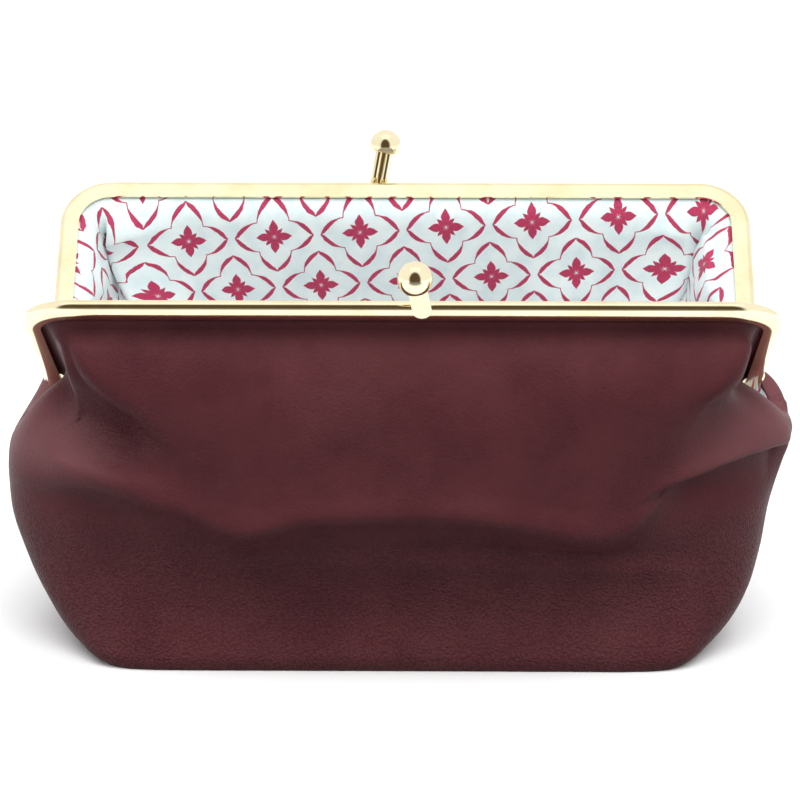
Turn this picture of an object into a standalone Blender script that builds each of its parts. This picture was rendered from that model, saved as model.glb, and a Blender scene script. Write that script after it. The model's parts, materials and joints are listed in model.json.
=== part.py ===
# Framed cosmetic pouch standing open: two leather panels and a cotton lining, held with paper
# cord in the channels of a two-half metal frame that closes with a pair of ball clasps.
# Metres, +Z up, the pouch faces -Y. The origin is on the floor under the middle of its depth.
import math

import bmesh
import bpy
from mathutils import Matrix, Vector

# Frame halves, as bent from one strip into a channel
frame_width = 0.200
frame_reach = 0.065
corner_radius = 0.0145
channel_width = 0.0056
channel_thickness = 0.0042
wall_thickness = 0.0008
rim_thickness = 0.0010
rim_radius = 0.0020
mating_edge_radius = 0.0018
mating_gap = 0.0003
front_open_angle = 58
rear_open_angle = 44
hinge_height = 0.076
hinge_setback = 0.0055

# Ears and rivets at the two hinges
ear_radius = 0.0030
ear_thickness = 0.0008
wall_end_drop = 0.0022
strip_start = 0.0045
rear_ear_height = 0.0090
rivet_radius = 0.0010
rivet_head_radius = 0.0024
rivet_head_height = 0.0011
rivet_tail_radius = 0.0019
rivet_tail_height = 0.0007
rivet_tail_end_share = 0.7

# Ball clasp. Its strip has a half width at shares of the way from toe to knee, and a fold height
# at shares of the way from knee to ball
ball_radius = 0.0046
ball_flat_drop = 0.0024
ball_flat_share = 0.9
ball_reach = 0.0103
ball_crossover = 0.0025
front_ball_offset = 0.0045
rear_ball_offset = -0.0050
front_stem_offset = 0.0059
rear_stem_offset = -0.0068
stem_width = 0.0050
stem_thickness = 0.0009
stem_slot_width = 0.0018
stem_slot_share = 0.6
stem_fold_height = 0.0014
stem_toe_depth = 0.0043
stem_knee_depth = 0.0029
toe_shares = ((0, 0.35), (0.12, 0.7), (0.3, 0.93), (0.5, 1))
stem_shares = ((0.1, 0), (0.3, 1), (1, 1))

# Fabric and the cord that holds it
leather_thickness = 0.0010
lining_thickness = 0.0004
fabric_insert = 0.0022
cord_radius = 0.0009
fit_gap = 0.0003
slot_start = 0.0130

# Leather outline: heights, how far each side stands out past the frame's side, and how far the
# body stands before and behind the hinge line. The shares shape the cloth's way out of the slot.
seam_drop = 0.0070
seam_inset = 0.0070
roll_out = 0.0026
roll_drop = 0.0031
free_edge_sag = 0.0015
leaving_share = 0.75
leaving_shares = ((0.35, -0.05), (0.55, 0.05), (0.62, 0.4), (0.5, 1))
seam_top_shares = ((0, 0), (0.1, -0.02), (0.3, 0.01), (0.62, 0.16), (1, 1))
roll_start_share = 0.6
roll_lift_share = 0.25
roll_end_shares = (1.1, 1.6)
hinge_shoulder_inset = 0.0030
hinge_shoulder_depth = 0.0085
leg_shoulder_inset = 0.0100
leg_shoulder_depth = 0.0085
leg_middle_share = 0.45
corner_shoulder_inset = 0.0090
corner_shoulder_depth = 0.0085
bar_shoulder_inset = 0.0105
bar_shoulder_depth = 0.0110
side_shoulder_overhang = 0.0060
side_shoulder_height = {-1: 0.0660, 1: 0.0700}
belly_height = 0.0600
belly_overhang = 0.0110
belly_front = 0.0545
belly_rear = 0.0515
foot_height = 0.0030
foot_narrowing = {-1: 0.0050, 1: 0.0103}
foot_front = 0.0348
foot_rear = 0.0350
foot_inset = 0.0022
foot_pinch = 0.13
base_seam_inset = 0.0040

# Rings round the belly, from its brow down: the ridge of the overhang, the undercut below it,
# the hollow and the tuck, as shares of the belly's height, overhang, front and rear. The
# leather sags unevenly, so the left hand, -1, and the right hand, 1, differ. A ring narrows by
# its pinch from the side seam to the front or rear, which leaves the boxed base its corners.
ring_height_shares = (1, 0.883, 0.808, 0.658, 0.43)
ring_overhang_shares = {-1: (1, 1.01, 1, 0.95, 0.60), 1: (0.78, 0.62, 0.42, 0.14, -0.14)}
ring_front_shares = (1, 0.99, 0.90, 0.785, 0.665)
ring_rear_shares = (1, 0.985, 0.94, 0.855, 0.76)
ring_squareness = (2.5, 2.5, 2.55, 2.8, 3.4)
ring_pinches = (0, 0, 0, 0, 0.03)
foot_squareness = 9
# How far each ring follows the rise and fall of the overhang across the panel, which is given
# by places in shares of the half width and rises in shares of the belly's height
follow_shares = (0.8, 1, 0.9, 0.35, 0)
front_place_shares = (-1.08, -0.93, -0.82, -0.66, -0.53, -0.44, -0.31, -0.20, 0, 0.19, 0.33, 0.42,
                      0.51, 0.57, 0.64, 0.72, 0.82, 1.0, 1.08)
front_rise_shares = (0, 0.033, 0.055, -0.017, -0.065, -0.125, -0.085, -0.055, -0.047, -0.050, -0.085,
                     -0.125, -0.155, -0.145, -0.075, 0.035, 0.10, 0.117, 0.067)
rear_place_shares = (-1.08, -0.60, 0, 0.50, 1.08)
rear_rise_shares = (0, -0.050, -0.008, -0.058, 0.050)

# Steps of the curved stretches
corner_steps = 8
arc_steps = 4
rivet_steps = 20
ball_steps = 24
ball_rows = 10
edge_columns = 3
leg_columns = 3
corner_columns = 3
bar_columns = 8
cord_sides = 2
ring_steps = 200

cut_overrun = 0.0010
ear_relief = 0.00005
evenness_limit = 1.4
half_width = frame_width / 2
slot_floor = rim_thickness
slot_near = mating_gap / 2 + wall_thickness
slot_far = mating_gap / 2 + channel_thickness - wall_thickness
outer_face = mating_gap / 2 + channel_thickness
hinge_point = Vector((0, hinge_setback, hinge_height))
side_shoulder_half_width = half_width + side_shoulder_overhang


def clear_scene():
    for item in list(bpy.data.objects):
        bpy.data.objects.remove(item, do_unlink=True)


def finish_material(name, colour, roughness, metallic):
    made = bpy.data.materials.new(name)
    made.use_nodes = True
    shader = made.node_tree.nodes["Principled BSDF"]
    shader.inputs["Base Color"].default_value = (*colour, 1)
    shader.inputs["Roughness"].default_value = roughness
    shader.inputs["Metallic"].default_value = metallic
    return made


def add_object(name, mesh, material, parent=None):
    item = bpy.data.objects.new(name, mesh)
    bpy.context.scene.collection.objects.link(item)
    mesh.materials.clear()
    mesh.materials.append(material)
    item.parent = parent
    return item


def swing_empty(name, degrees):
    # A half is modelled closed and upright, and its empty leans it open about the hinge axis.
    empty = bpy.data.objects.new(name, None)
    bpy.context.scene.collection.objects.link(empty)
    empty.location = hinge_point
    empty.rotation_euler = (math.radians(degrees), 0, 0)
    return empty


def mesh_of(name, points, faces):
    mesh = bpy.data.meshes.new(name)
    mesh.from_pydata([tuple(p) for p in points], [], faces)
    worker = bmesh.new()
    worker.from_mesh(mesh)
    bmesh.ops.recalc_face_normals(worker, faces=worker.faces)
    worker.to_mesh(mesh)
    worker.free()
    return mesh


def smooth(mesh, degrees=35):
    mesh.shade_smooth()
    mesh.set_sharp_from_angle(angle=math.radians(degrees))


def loft(name, rings):
    # Rings of equal count, joined in order and closed by a face at each end
    count = len(rings[0])
    points = [point for ring in rings for point in ring]
    faces = []
    for row in range(len(rings) - 1):
        for k in range(count):
            after = (k + 1) % count
            low = row * count
            faces.append((low + k, low + after, low + count + after, low + count + k))
    last = (len(rings) - 1) * count
    faces.append(tuple(range(count)))
    faces.append(tuple(last + k for k in range(count)))
    return mesh_of(name, points, faces)


def arc(centre, radius, start, end, steps):
    found = []
    for k in range(steps + 1):
        angle = math.radians(start + (end - start) * k / steps)
        found.append((centre[0] + radius * math.cos(angle), centre[1] + radius * math.sin(angle)))
    return found


def apply_boolean(item, cutter, operation):
    modifier = item.modifiers.new(cutter.name, "BOOLEAN")
    modifier.operation = operation
    modifier.object = cutter
    modifier.solver = "EXACT"
    cutter.hide_render = True
    cutter.display_type = "WIRE"


def prism(name, outline, low, high):
    # The outline is in (y, z) and runs along X from low to high
    rings = [[Vector((x, y, z)) for y, z in outline] for x in (low, high)]
    return loft(name, rings)


def box_prism(name, x_low, x_high, y_low, y_high, z_low, z_high):
    corners = [(y_low, z_low), (y_high, z_low), (y_high, z_high), (y_low, z_high)]
    return prism(name, corners, x_low, x_high)


def frame_path():
    # Stations along the outer rim of a half, each with its inward direction, in (x, z)
    left = half_width - corner_radius
    top = frame_reach - corner_radius
    stations = [(Vector((-half_width, -wall_end_drop)), Vector((1, 0)))]
    for sign, start, end in ((-1, 180, 90), (1, 90, 0)):
        for k in range(corner_steps + 1):
            angle = math.radians(start + (end - start) * k / corner_steps)
            outward = Vector((math.cos(angle), math.sin(angle)))
            centre = Vector((sign * left, top))
            stations.append((centre + outward * corner_radius, -outward))
    stations.append((Vector((half_width, -wall_end_drop)), Vector((-1, 0))))
    return stations


def channel_profile():
    # Closed section of the channel in (inward from the rim, away from the mating plane)
    near = mating_gap / 2
    section = [(channel_width, outer_face)]
    section += arc((rim_radius, outer_face - rim_radius), rim_radius, 90, 180, arc_steps)
    middle = (mating_edge_radius, near + mating_edge_radius)
    section += arc(middle, mating_edge_radius, 180, 270, arc_steps)
    section += [(channel_width, near), (channel_width, slot_near), (slot_floor, slot_near)]
    section += [(slot_floor, slot_far), (channel_width, slot_far)]
    return section


def frame_half(name, side, material, parent):
    # side is -1 for the front half, whose outer face looks to -Y when closed, and 1 for the rear
    rings = []
    for point, inward in frame_path():
        ring = []
        for depth, away in channel_profile():
            place = point + inward * depth
            ring.append(Vector((place.x, side * away, place.y)))
        rings.append(ring)
    item = add_object(name, loft(name, rings), material, parent)
    for end in (-1, 1):
        shape_hinge_end(item, side, end, parent)
    smooth(item.data)
    return item


def shape_hinge_end(item, side, end, parent):
    label = f"{item.name}_{'left' if end < 0 else 'right'}"
    inner = half_width - channel_width - cut_overrun
    if side < 0:
        # The front half keeps its rim as the outer ear, so only its mating wall is cut away
        outer = half_width - rim_thickness + ear_relief
        reach = slot_near + wall_thickness
    else:
        # The rear half loses rim and mating wall, to make room for the front half's ear
        outer = half_width + cut_overrun
        reach = slot_far - mating_gap / 2
    spans = sorted((end * inner, end * outer))
    depths = sorted((-side * cut_overrun, side * reach))
    low = -wall_end_drop - cut_overrun
    notch = box_prism(f"{label}_notch", *spans, *depths, low, strip_start)
    apply_boolean(item, add_object(notch.name, notch, item.data.materials[0], parent), "DIFFERENCE")
    disc = arc((0, 0), ear_radius, 0, 360, 6 * arc_steps)[:-1]
    if side < 0:
        high = half_width - (rim_thickness - ear_thickness) / 2
        outline = disc
    else:
        high = half_width - rim_thickness - fit_gap
        web = slot_far + wall_thickness / 2
        outline = ear_outline(web)
    ear = prism(f"{label}_ear", outline, *sorted((end * (high - ear_thickness), end * high)))
    apply_boolean(item, add_object(ear.name, ear, item.data.materials[0], parent), "UNION")
    bore = arc((0, 0), rivet_radius + fit_gap, 0, 360, 4 * arc_steps)[:-1]
    drill_low = end * (inner - cut_overrun)
    drill_high = end * (half_width + cut_overrun)
    drill = prism(f"{label}_bore", bore, *sorted((drill_low, drill_high)))
    apply_boolean(item, add_object(drill.name, drill, item.data.materials[0], parent), "DIFFERENCE")


def ear_outline(web):
    # A round ear with a web up to the rear half's outer wall and into its leg, in (y, z)
    outline = arc((0, 0), ear_radius, 180, 270, 2 * arc_steps)
    outline += [(web, -ear_radius / 2), (web, rear_ear_height)]
    outline += [(mating_gap, rear_ear_height), (mating_gap, strip_start)]
    lean = arc((0, 0), ear_radius, 135, 180, arc_steps)
    outline += lean[:-1]
    return outline


def rivet(name, end, material):
    # Turned about X: a domed head outside, the shank, and the spread tail inside the ears
    shank_end = half_width - rim_thickness - 2 * fit_gap - ear_thickness
    head_start = half_width + fit_gap
    outline = [(shank_end - rivet_tail_height, 0)]
    outline += [(shank_end - rivet_tail_height, rivet_tail_radius * rivet_tail_end_share)]
    outline += [(shank_end - rivet_tail_height / 2, rivet_tail_radius), (shank_end, rivet_tail_radius)]
    outline += [(shank_end, rivet_radius), (head_start, rivet_radius), (head_start, rivet_head_radius)]
    for k in range(1, arc_steps + 1):
        angle = math.radians(90 * k / arc_steps)
        rise = head_start + rivet_head_height * math.sin(angle)
        outline.append((rise, rivet_head_radius * math.cos(angle)))
    mesh = turn(name, [(x, r) for x, r in outline], rivet_steps)
    # The turned shape stands on Z, so it is laid along X at the hinge axis
    mesh.transform(Matrix.Rotation(end * math.radians(90), 4, "Y"))
    mesh.transform(Matrix.Translation(hinge_point))
    smooth(mesh)
    return add_object(name, mesh, material)


def turn(name, outline, steps):
    # outline is (height, radius) from bottom to top; its end points lie on the axis
    points = [Vector((0, 0, outline[0][0]))]
    rows = outline[1:-1]
    for height, radius in rows:
        for k in range(steps):
            angle = 2 * math.pi * k / steps
            points.append(Vector((radius * math.cos(angle), radius * math.sin(angle), height)))
    points.append(Vector((0, 0, outline[-1][0])))
    top = len(points) - 1
    faces = []
    for k in range(steps):
        after = (k + 1) % steps
        faces.append((0, 1 + after, 1 + k))
        for row in range(len(rows) - 1):
            low = 1 + row * steps
            faces.append((low + k, low + after, low + steps + after, low + steps + k))
        last = 1 + (len(rows) - 1) * steps
        faces.append((last + k, last + after, top))
    return mesh_of(name, points, faces)


def stem_path(side, stem_x, ball_x):
    # Centre line of the stem, from its toe at the rim's outer edge over the mating plane to the ball
    lift = frame_reach + fit_gap + stem_thickness / 2
    ball = Vector((ball_x, -side * ball_crossover, frame_reach + ball_reach))
    knee = Vector((stem_x, side * stem_knee_depth, lift))
    toe = Vector((stem_x, side * stem_toe_depth, lift))
    lean = (ball - knee).normalized()
    top = ball - lean * (ball_flat_drop + fit_gap)
    return toe, knee, top, ball, lean


def clasp_stem(name, side, stem_x, ball_x, material, parent):
    toe, knee, top, ball, lean = stem_path(side, stem_x, ball_x)
    across = Vector((1, 0, 0))
    rings = []
    for along, wide in toe_shares:
        spot = toe.lerp(knee, along)
        rings.append(stem_ring(spot, across, Vector((0, 0, 1)), wide, 0))
    # The folds stand on the side of the stem that faces the other half
    up = Vector((0, side, 0))
    face = (up - lean * up.dot(lean)).normalized()
    for along, fold in stem_shares:
        spot = knee.lerp(top, along)
        wide_axis = lean.cross(face).normalized()
        if wide_axis.x < 0:
            wide_axis = -wide_axis
        rings.append(stem_ring(spot, wide_axis, face, 1, fold))
    mesh = loft(name, rings)
    smooth(mesh, 30)
    return add_object(name, mesh, material, parent)


def stem_ring(spot, across, face, wide, fold):
    # A flat strip whose two edges fold back and leave a slot between them
    half = stem_width / 2 * wide
    slot = min(stem_slot_width / 2, half * stem_slot_share)
    back = stem_thickness / 2
    rise = -back - stem_fold_height * fold - stem_thickness / 10
    shape = [(-half, back), (half, back), (half, rise), (slot, rise)]
    shape += [(slot, -back), (-slot, -back), (-slot, rise), (-half, rise)]
    return [spot + across * a + face * b for a, b in shape]


def clasp_ball(name, side, stem_x, ball_x, material, parent):
    toe, knee, top, ball, lean = stem_path(side, stem_x, ball_x)
    flat_radius = math.sqrt(ball_radius**2 - ball_flat_drop**2)
    start = math.degrees(math.atan2(-ball_flat_drop, flat_radius))
    rows = [(-ball_flat_drop, 0), (-ball_flat_drop, flat_radius * ball_flat_share)]
    for height, radius in ball_outline(start):
        rows.append((height, radius))
    mesh = turn(name, rows, ball_steps)
    turned = lean.to_track_quat("Z", "Y").to_matrix().to_4x4()
    mesh.transform(Matrix.Translation(ball) @ turned)
    smooth(mesh, 40)
    return add_object(name, mesh, material, parent)


def ball_outline(start):
    found = []
    for k in range(ball_rows + 1):
        angle = math.radians(start + (90 - start) * k / ball_rows)
        found.append((ball_radius * math.sin(angle), ball_radius * math.cos(angle)))
    return found


def in_half(x, up, away, side):
    # World place of a point given in a half's own sizes: along X, up the half, off its mating plane
    turn_angle = math.radians(front_open_angle if side < 0 else -rear_open_angle)
    local = Vector((x, side * away, up))
    return hinge_point + Matrix.Rotation(turn_angle, 3, "X") @ local


def channel_columns():
    # Rim points and inward directions of the left half of the channel that the fabric fills,
    # and how far round each lies: 0 at the hinge, 1 at the corner's start, 2 along the bar
    top = frame_reach - corner_radius
    columns = []
    for k in range(leg_columns + 1):
        up = slot_start + (top - slot_start) * k / leg_columns
        columns.append((Vector((-half_width, up)), Vector((1, 0)), k / leg_columns))
    centre = Vector((corner_radius - half_width, top))
    for k in range(1, corner_columns + 1):
        angle = math.radians(180 - 90 * k / corner_columns)
        outward = Vector((math.cos(angle), math.sin(angle)))
        columns.append((centre + outward * corner_radius, -outward, 1 + k / corner_columns))
    for k in range(1, bar_columns + 1):
        x = (corner_radius - half_width) * (1 - k / bar_columns)
        columns.append((Vector((x, frame_reach)), Vector((0, -1)), 2))
    return columns


def mix(low, high, share):
    return low + (high - low) * share


def between(places, values, where):
    # The value at a place on a line of straight runs
    for k in range(1, len(places)):
        if where <= places[k]:
            share = (where - places[k - 1]) / (places[k] - places[k - 1])
            return mix(values[k - 1], values[k], max(share, 0))
    return values[-1]


# The shoulder's places round the frame, as channel_columns counts them, and its sizes there
shoulder_places = (0, leg_middle_share, 1, 2)
shoulder_insets = (hinge_shoulder_inset, leg_shoulder_inset, corner_shoulder_inset, bar_shoulder_inset)
shoulder_depths = (hinge_shoulder_depth, leg_shoulder_depth, corner_shoulder_depth, bar_shoulder_depth)


def top_rows(side, hand):
    # For each column, the places from the edge in the slot to the shoulder of the body
    away = slot_far - fit_gap
    columns = []
    for rim, inward, around in channel_columns():
        bar = max(around - 1, 0)
        inset = between(shoulder_places, shoulder_insets, around)
        depth = between(shoulder_places, shoulder_depths, around)
        steps = [(channel_width - fabric_insert, away), (channel_width + fit_gap, away)]
        for out, drop in ((roll_start_share, roll_lift_share), (mix(*roll_end_shares, bar), 1)):
            steps.append((channel_width + roll_out * out, away + roll_drop * drop))
        steps.append((inset, depth))
        places = [rim + inward * far for far, lift in steps]
        lifts = [lift for far, lift in steps]
        columns.append([in_half(p.x, p.y, lift, side) for p, lift in zip(places, lifts)])
    leaving = leaving_column(side, away)
    seam = seam_column(side, hand)
    edge = []
    for k in range(1, edge_columns):
        share = k / edge_columns
        sag = Vector((0, 0, -4 * free_edge_sag * share * (1 - share)))
        edge.append([a.lerp(b, share) + sag for a, b in zip(seam, leaving)])
    return [seam] + edge + [leaving] + columns


def leaving_column(side, away):
    # Where the free edge of the side opening comes out of the slot beside the hinge
    up = slot_start - channel_width * leaving_share
    column = []
    for out, drop in leaving_shares:
        depth = channel_width + roll_out * out
        column.append(in_half(depth - half_width, up, away + roll_drop * drop, side))
    column.append(in_half(hinge_shoulder_inset - half_width, up, hinge_shoulder_depth, side))
    return column


def seam_column(side, hand):
    # The top of the side seam, below the rivet, and its way out to the shoulder
    inner = half_width - seam_inset
    top = hinge_height - seam_drop
    y = hinge_setback + side * fit_gap / 2
    column = []
    for out, down in seam_top_shares:
        x = mix(inner, side_shoulder_half_width, out)
        column.append(Vector((-x, y, mix(top, side_shoulder_height[hand], down))))
    return column


def ring_points(shares, half, depth, squareness, pinch, height, side):
    # Points of a quarter ring at shares of its length, from the left seam to the middle
    fine = []
    for k in range(ring_steps + 1):
        angle = math.pi / 2 * k / ring_steps
        forward = math.sin(angle) ** (2 / squareness)
        x = -half * math.cos(angle) ** (2 / squareness) * (1 - pinch * forward)
        fine.append(Vector((x, depth * forward)))
    lengths = [0]
    for a, b in zip(fine, fine[1:]):
        lengths.append(lengths[-1] + (b - a).length)
    found = []
    for share in shares:
        goal = share * lengths[-1]
        k = next((i for i in range(ring_steps) if lengths[i + 1] >= goal), ring_steps - 1)
        spot = fine[k].lerp(fine[k + 1], (goal - lengths[k]) / (lengths[k + 1] - lengths[k]))
        y = hinge_setback + side * max(spot.y, fit_gap / 2)
        found.append(Vector((spot.x, y, height)))
    found[-1].x = 0
    return found


def belly_rings(shares, side, hand):
    # The rings from the brow to the tuck, which rise and fall with the overhang
    depth = belly_front if side < 0 else belly_rear
    depth_shares = ring_front_shares if side < 0 else ring_rear_shares
    places = front_place_shares if side < 0 else rear_place_shares
    rises = front_rise_shares if side < 0 else rear_rise_shares
    rings = []
    for k, height_share in enumerate(ring_height_shares):
        half = half_width + belly_overhang * ring_overhang_shares[hand][k]
        height = belly_height * height_share
        reach = depth * depth_shares[k]
        ring = ring_points(shares, half, reach, ring_squareness[k], ring_pinches[k], height, side)
        for point in ring:
            # The ring is made for the left hand, so the right hand reads the line mirrored
            rise = between(places, rises, -hand * point.x / half_width)
            point.z += follow_shares[k] * belly_height * rise
        rings.append(ring)
    return rings


def panel_columns(side, hand):
    # Control places of one hand of a panel's outer face, from slot edge to base seam, all made
    # at the left
    columns = top_rows(side, hand)
    walked = [0]
    for a, b in zip(columns, columns[1:]):
        walked.append(walked[-1] + (b[1] - a[1]).length)
    shares = [length / walked[-1] for length in walked]
    rings = belly_rings(shares, side, hand)
    foot = foot_front if side < 0 else foot_rear
    foot_half_width = half_width - foot_narrowing[hand]
    edge_half = foot_half_width - foot_inset
    for half, depth, height in ((foot_half_width, foot, foot_height), (edge_half, foot - foot_inset, 0)):
        rings.append(ring_points(shares, half, depth, foot_squareness, foot_pinch, height, side))
    seam_half = edge_half - base_seam_inset
    y = hinge_setback + side * fit_gap / 2
    rings.append([Vector((-seam_half * (1 - share), y, 0)) for share in shares])
    return [column + [ring[k] for ring in rings] for k, column in enumerate(columns)]


# Steps between one control place and the next, from the slot to the base seam
row_steps = (1, 1, 1, 2, 3, 1, 2, 2, 1, 2, 1, 1)


def smooth_column(places):
    # A curve through the places, with straight runs in the slot and under the base
    chords = [(b - a).length for a, b in zip(places, places[1:])]
    slopes = [(places[1] - places[0]) / chords[0]]
    for k in range(1, len(places) - 1):
        before = (places[k] - places[k - 1]) / chords[k - 1]
        after = (places[k + 1] - places[k]) / chords[k]
        slopes.append((after * chords[k - 1] + before * chords[k]) / (chords[k - 1] + chords[k]))
    slopes.append((places[-1] - places[-2]) / chords[-1])
    found = [places[0]]
    for k, steps in enumerate(row_steps):
        for step in range(1, steps + 1):
            t = step / steps
            start = places[k] * (2 * t**3 - 3 * t**2 + 1)
            end = places[k + 1] * (3 * t**2 - 2 * t**3)
            rise = slopes[k] * chords[k] * (t**3 - 2 * t**2 + t)
            fall = slopes[k + 1] * chords[k] * (t**3 - t**2)
            found.append(start + end + rise + fall)
    return found


def panel_face(side):
    left = [smooth_column(column) for column in panel_columns(side, -1)]
    right = [smooth_column(column) for column in panel_columns(side, 1)]
    mirrored = [[Vector((-p.x, p.y, p.z)) for p in column] for column in reversed(right[:-1])]
    return left + mirrored


def face_normals(grid, side):
    # Outward directions of the grid's points; along a seam they stay in the seam's plane
    last_column = len(grid) - 1
    last_row = len(grid[0]) - 1
    normals = []
    for c, column in enumerate(grid):
        found = []
        for r in range(last_row + 1):
            across = grid[min(c + 1, last_column)][r] - grid[max(c - 1, 0)][r]
            down = column[min(r + 1, last_row)] - column[max(r - 1, 0)]
            normal = down.cross(across) * -side
            if c in (0, last_column):
                normal.y = 0
            if r == last_row:
                normal = Vector((0, 0, -1))
            found.append(normal.normalized())
        normals.append(found)
    return normals


def evenness(grid, normals, c, r):
    # How much further a point at a bend moves, so that the faces beside it move evenly
    point = grid[c][r]
    total = 0
    count = 0
    for across in (-1, 1):
        for down in (-1, 1):
            if 0 <= c + across < len(grid) and 0 <= r + down < len(grid[0]):
                a = grid[c + across][r] - point
                b = grid[c][r + down] - point
                straight = abs(a.cross(b).normalized().dot(normals[c][r]))
                total += straight
                count += straight > 0
    return min(count / total, evenness_limit) if count else 1


def offset_grid(grid, normals, distance):
    moved = []
    for c, column in enumerate(grid):
        found = []
        for r, point in enumerate(column):
            found.append(point - normals[c][r] * distance * evenness(grid, normals, c, r))
        moved.append(found)
    return moved


def shell_mesh(name, outer, inner):
    columns = len(outer)
    rows = len(outer[0])
    points = [p for column in outer for p in column] + [p for column in inner for p in column]
    lift = columns * rows
    faces = []
    for c in range(columns - 1):
        for r in range(rows - 1):
            a = c * rows + r
            faces.append((a, a + 1, a + rows + 1, a + rows))
            faces.append((a + lift, a + rows + lift, a + rows + 1 + lift, a + 1 + lift))
        for r in (0, rows - 1):
            a = c * rows + r
            faces.append((a, a + rows, a + rows + lift, a + lift))
    for c in (0, columns - 1):
        for r in range(rows - 1):
            a = c * rows + r
            faces.append((a, a + lift, a + 1 + lift, a + 1))
    return mesh_of(name, points, faces)


def panel(name, side, depth, thickness, material):
    # A layer of the body, its outer face lying depth inside the leather's outer face
    grid = panel_face(side)
    normals = face_normals(grid, side)
    outer = offset_grid(grid, normals, depth)
    inner = offset_grid(grid, normals, depth + thickness)
    mesh = shell_mesh(name, outer, inner)
    smooth(mesh, 60)
    return add_object(name, mesh, material)


def channel_cord(name, side, material, parent):
    # The paper cord at the bottom of the channel, beside the fabric's edge
    depth = slot_floor + fit_gap + cord_radius
    away = (slot_near + slot_far) / 2
    left = channel_columns()
    right = [(Vector((-rim.x, rim.y)), Vector((-way.x, way.y)), far) for rim, way, far in left]
    route = [rim + way * depth for rim, way, far in left[:-1] + right[:-1][::-1]]
    curve = bpy.data.curves.new(name, "CURVE")
    curve.dimensions = "3D"
    curve.bevel_depth = cord_radius
    curve.bevel_resolution = cord_sides
    curve.use_fill_caps = True
    line = curve.splines.new("POLY")
    line.points.add(len(route) - 1)
    for point, spot in zip(line.points, route):
        point.co = (spot.x, side * away, spot.y, 1)
    item = bpy.data.objects.new(name, curve)
    bpy.context.scene.collection.objects.link(item)
    curve.materials.append(material)
    item.parent = parent
    return item


def build():
    clear_scene()
    gold = finish_material("pale_gold", (0.83, 0.69, 0.42), 0.12, 1.0)
    leather = finish_material("burgundy_leather", (0.10, 0.028, 0.034), 0.42, 0.0)
    cotton = finish_material("printed_cotton", (0.76, 0.86, 0.85), 0.85, 0.0)
    paper = finish_material("paper_cord", (0.62, 0.50, 0.34), 0.9, 0.0)
    front = swing_empty("front_swing_axis", front_open_angle)
    rear = swing_empty("rear_swing_axis", -rear_open_angle)
    frame_half("front_frame", -1, gold, front)
    frame_half("rear_frame", 1, gold, rear)
    rivet("left_hinge_rivet", -1, gold)
    rivet("right_hinge_rivet", 1, gold)
    clasp_stem("front_clasp_stem", -1, front_stem_offset, front_ball_offset, gold, front)
    clasp_stem("rear_clasp_stem", 1, rear_stem_offset, rear_ball_offset, gold, rear)
    clasp_ball("front_clasp_ball", -1, front_stem_offset, front_ball_offset, gold, front)
    clasp_ball("rear_clasp_ball", 1, rear_stem_offset, rear_ball_offset, gold, rear)
    channel_cord("front_channel_cord", -1, paper, front)
    channel_cord("rear_channel_cord", 1, paper, rear)
    panel("leather_front_panel", -1, 0, leather_thickness, leather)
    panel("leather_rear_panel", 1, 0, leather_thickness, leather)
    lining_depth = leather_thickness + fit_gap
    panel("lining_front_panel", -1, lining_depth, lining_thickness, cotton)
    panel("lining_rear_panel", 1, lining_depth, lining_thickness, cotton)


build()
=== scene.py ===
# An open leather pouch hung on a gold clasp frame, with a printed cotton lining.
# Metres, +Z up, the front faces -Y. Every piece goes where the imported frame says.
import json
import math

import bmesh
import bpy
import numpy as np
from mathutils import Matrix, Vector


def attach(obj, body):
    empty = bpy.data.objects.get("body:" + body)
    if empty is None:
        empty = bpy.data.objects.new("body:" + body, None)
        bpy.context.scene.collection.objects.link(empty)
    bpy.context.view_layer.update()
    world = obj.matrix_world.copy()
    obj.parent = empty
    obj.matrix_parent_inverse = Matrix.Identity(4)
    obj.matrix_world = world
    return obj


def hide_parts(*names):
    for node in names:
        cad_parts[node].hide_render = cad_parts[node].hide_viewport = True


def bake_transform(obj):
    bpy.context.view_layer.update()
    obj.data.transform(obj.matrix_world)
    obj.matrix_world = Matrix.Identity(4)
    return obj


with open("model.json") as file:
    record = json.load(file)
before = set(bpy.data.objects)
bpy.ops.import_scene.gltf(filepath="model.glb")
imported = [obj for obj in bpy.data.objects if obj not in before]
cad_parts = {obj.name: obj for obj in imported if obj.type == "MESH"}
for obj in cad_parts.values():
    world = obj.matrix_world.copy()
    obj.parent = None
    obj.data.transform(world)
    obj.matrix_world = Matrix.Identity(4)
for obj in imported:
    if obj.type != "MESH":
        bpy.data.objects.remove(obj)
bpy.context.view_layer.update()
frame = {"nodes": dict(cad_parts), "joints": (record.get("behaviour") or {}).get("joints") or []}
scene = bpy.context.scene
swings = {joint["child"]: joint for joint in frame["joints"]}
hinge = np.array(swings["front_half"]["pos_m"])
openAngle = {-1: swings["front_half"]["range_deg"][1], 1: -swings["rear_half"]["range_deg"][1]}
print("frame loaded:", len(frame["nodes"]), "nodes")


# Numbers along lines

def mix(low, high, share):
    return low + (high - low) * share


def ease(value, low, high):
    share = np.clip((value - low) / (high - low), 0, 1)
    return share * share * (3 - 2 * share)


def lineAt(table, where, blur=0.0):
    # A value read from listed places, its corners rounded over the blur's reach
    places, values = zip(*table)
    taps = [-1, -0.5, 0, 0.5, 1] if blur else [0]
    return sum(np.interp(where + blur * tap, places, values) for tap in taps) / len(taps)


def stepLengths(points):
    return np.linalg.norm(np.diff(points, axis=0), axis=1)


def walkedTo(steps):
    return np.concatenate([[0], np.cumsum(steps)])


def unit(rows):
    return rows / np.maximum(np.linalg.norm(rows, axis=-1, keepdims=True), 1e-12)


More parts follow.
